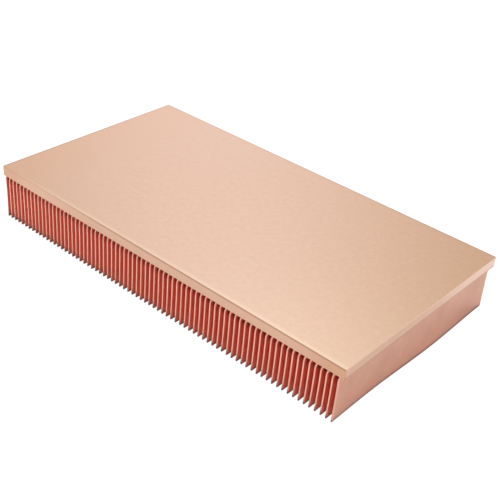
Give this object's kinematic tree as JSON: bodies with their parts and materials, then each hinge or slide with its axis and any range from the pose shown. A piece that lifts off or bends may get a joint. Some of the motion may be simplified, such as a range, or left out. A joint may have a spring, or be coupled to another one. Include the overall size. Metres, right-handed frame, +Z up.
{
  "type": "skived fin heat sink",
  "caption": "Bare copper heat sink: a flat rectangular base plate with a close row of thin skived fins across it, lying on the fin tips with the plain mounting face up.",
  "frame": {"origin": "centre of the bounding box in plan, at the height of the fin tips that the part rests on", "axes": "+Z up, out of the plain mounting face; +X along the row of fins, the longest extent; +Y along each fin, from the front to the back"},
  "size_m": [0.15, 0.08, 0.02],
  "materials": {
    "copper": null
  },
  "bodies": {
    "root": {"heat_sink": "copper"}
  },
  "joints": []
}
